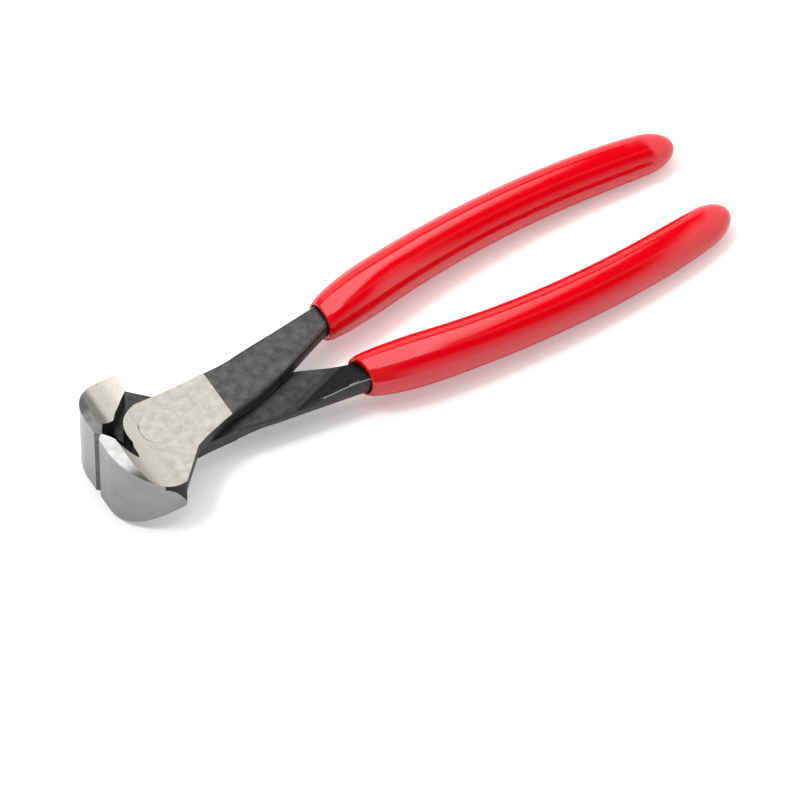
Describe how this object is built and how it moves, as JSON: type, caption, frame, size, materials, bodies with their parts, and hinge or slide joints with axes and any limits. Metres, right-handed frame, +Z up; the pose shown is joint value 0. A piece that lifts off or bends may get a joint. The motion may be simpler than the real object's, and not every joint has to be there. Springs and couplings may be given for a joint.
{
  "type": "end cutting nippers",
  "caption": "End cutting nippers: crossed forged halves in a lap joint on a flush rivet, broad hollow-ground jaws across the end and bowed handles in dipped red grips.",
  "frame": {"origin": "under the middle of the part, level with the lower rims of the jaws", "axes": "+X from the jaws to the tips of the handles, +Y towards the upper half's handle, +Z up along the rivet"},
  "size_m": [0.2058, 0.0524, 0.028],
  "materials": {
    "forged_steel": "ground and polished at the jaws and cheeks, black oxide on the shanks",
    "rivet_steel": "ground flush with the cheeks",
    "grip_vinyl": "glossy dipped vinyl"
  },
  "bodies": {
    "upper_side": {"upper_half": "forged_steel", "rivet": "rivet_steel", "upper_grip": "grip_vinyl"},
    "lower_side": {"lower_half": "forged_steel", "lower_grip": "grip_vinyl"}
  },
  "joints": [
    {"name": "rivet_pivot", "type": "hinge", "parent": "upper_side", "child": "lower_side", "pos_m": [-0.0825, 0, 0.014], "axis": [0, 0, -1], "range_deg": [0, 50]}
  ]
}
